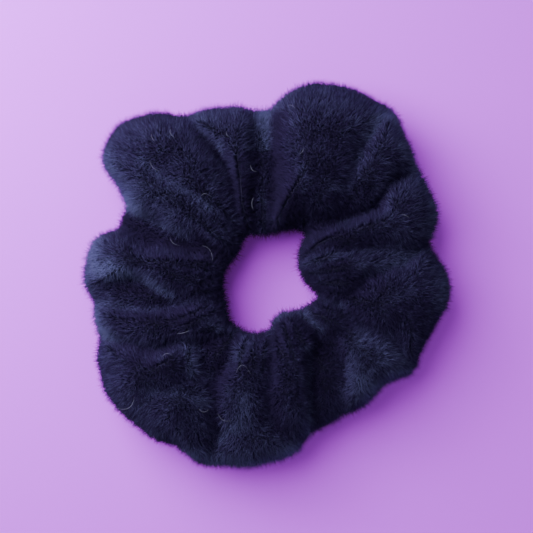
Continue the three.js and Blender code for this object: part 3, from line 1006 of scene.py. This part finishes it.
band_width = band_high[2] - band_low[2]
across_band = np.linspace(-0.5, 0.5, 4 * BAND_CORDS + 1)
cords = np.abs(np.sin(math.pi * BAND_CORDS * (across_band + 0.5)))
for near, far, start_turn, end_turn in stretches:
    way = 1 if end_turn > start_turn else -1
    at_join = far.endswith("_6")
    last = end_turn + (way * OVERLAP if at_join else 0)
    loops = []
    for turn in np.linspace(start_turn, last, 45):
        past = np.clip((abs(turn) - 6 * WEDGE + 1.15 * OVERLAP) / (0.75 * OVERLAP), 0, 1)
        layer = way * LAYER_SHIFT * past ** 2 * (3 - 2 * past)
        crossing = 0.75 + 0.25 * np.cos(turn * 150 + np.round(across_band * BAND_CORDS) * math.pi)
        half = BAND_THICKNESS * (0.41 + 0.09 * cords * crossing)
        middle = ring_radius + layer
        heights = band_height + band_width * across_band
        outside = [ring_point(turn, middle + h, height) for h, height in zip(half, heights)]
        inside = [ring_point(turn, middle - h, height) for h, height in zip(half, heights)]
        loops.append(np.array(outside + inside[::-1]))
    band = swept(f"elastic_band_{far}", loops, braid)
    stretch_with(band, near, far, start_turn, end_turn, sewn=OVERLAP / WEDGE if at_join else 0)
    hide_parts(*sections("elastic", far))

# ---- Elastic join ----------------------------------------
# A zigzag through both layers of the overlap, from a needle thread on the outer face and a bobbin
# thread on the inner one.

JOIN_THREAD = 0.22 * MM                # radius
JOIN_REACH = math.radians(7.6)         # how far the zigzag runs to each side of the closing seam
ZIGZAGS = 6

for name, shift in (("needle", 1), ("bobbin", -1)):
    low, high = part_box(f"elastic_join_{name}_thread")
    zig = (high[2] - low[2]) * 0.42
    height = (low[2] + high[2]) / 2
    radius = ring_radius + shift * (LAYER_SHIFT + BAND_THICKNESS / 2 + JOIN_THREAD + 0.05 * MM)
    path = []
    for step in np.linspace(-1, 1, 73):
        sway = 2 * abs((step * ZIGZAGS / 2 + 0.5) % 1 * 2 - 1) - 1
        up = height + zig * np.clip(sway * 1.15, -1, 1)
        path.append(ring_point(math.pi + step * JOIN_REACH, radius, up))
    path = np.array(path)
    loops = []
    for i, point in enumerate(path):
        tangent = path[min(i + 1, len(path) - 1)] - path[max(i - 1, 0)]
        tangent /= np.linalg.norm(tangent)
        out = point - np.array([ring_x, ring_y, point[2]])
        out /= np.linalg.norm(out)
        side = np.cross(tangent, out)
        side /= np.linalg.norm(side)
        out = np.cross(side, tangent)
        turns = np.linspace(0, 2 * math.pi, 10, endpoint=False)
        ways = [math.cos(turn) * out + math.sin(turn) * side for turn in turns]
        loops.append(np.array([point + JOIN_THREAD * way for way in ways]))
    zigzag = swept(f"elastic_join_{name}", loops, thread_paint)
    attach(zigzag, "right_6")
    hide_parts(f"elastic_join_{name}_thread")

# ---- Closing seam ----------------------------------------
# The tube's two ends are sewn together after the elastic is in. Small stitches go once round the
# tube, sunk just under the cloth's surface.

CLOSING_STITCHES = 40
CLOSING_STITCH = 1.9 * MM
CLOSING_THREAD = 0.25 * MM
CLOSING_DEPTH = 0.6 * MM               # below the cloth's surface

way_out = np.array(ring_point(math.pi, 1, 0)) - np.array([ring_x, ring_y, 0])
centre = np.array(ring_point(math.pi, ring_radius, band_height))
path = []
for turn in np.linspace(0, 2 * math.pi, 60, endpoint=False):
    way = way_out * math.cos(turn) + np.array([0, 0, 1]) * math.sin(turn)
    hit = cloth_surface.ray_cast(tuple(centre), tuple(way))
    path.append(centre + way * (hit[3] - CLOSING_DEPTH))
closing = sewn_row("closing_seam", path, CLOSING_STITCHES, CLOSING_STITCH, CLOSING_THREAD)
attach(closing, "right_6")
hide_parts("closing_seam_thread")

# ---- Surroundings ----------------------------------------
# A plain violet table top, a large soft light from the upper left, a weak glow that falls on the
# table only, even light from the room, and the camera straight above.

floor = new_mesh("floor", [(-2, -2, 0), (2, -2, 0), (2, 2, 0), (-2, 2, 0)], [(0, 1, 2, 3)])
paper = bpy.data.materials.new("pale_table_top")
paper.use_nodes = True
shader = paper.node_tree.nodes["Principled BSDF"]
shader.inputs["Base Color"].default_value = (0.58, 0.05, 1.0, 1)
shader.inputs["Roughness"].default_value = 0.85
shader.inputs["Specular IOR Level"].default_value = 0
floor.data.materials.append(paper)


def soft_light(name, place, size, power):
    lamp = bpy.data.lights.new(name, "AREA")
    lamp.shape = "DISK"
    lamp.size = size
    lamp.energy = power
    light = bpy.data.objects.new(name, lamp)
    bpy.context.scene.collection.objects.link(light)
    light.location = place
    tilt = math.atan2(math.hypot(place[0], place[1]), place[2])
    light.rotation_euler = (tilt, 0, math.atan2(-place[1], -place[0]) - math.pi / 2)
    return light


soft_light("window", (-0.24, 0.19, 0.42), 0.5, 5.7)
glow = soft_light("table_glow", (-0.17, 0.13, 0.11), 0.2, 0.9)
only_table = bpy.data.collections.new("only_table")
only_table.objects.link(floor)
glow.light_linking.receiver_collection = only_table
world = bpy.data.worlds.new("room")
world.use_nodes = True
world.node_tree.nodes["Background"].inputs["Color"].default_value = (1.0, 1.0, 1.0, 1)
world.node_tree.nodes["Background"].inputs["Strength"].default_value = 0.54
bpy.context.scene.world = world

lens = bpy.data.cameras.new("camera")
lens.lens = 95
lens.sensor_width = 36
camera = bpy.data.objects.new("camera", lens)
camera.location = (0, 0.0025, 0.465)
bpy.context.scene.collection.objects.link(camera)
bpy.context.scene.camera = camera
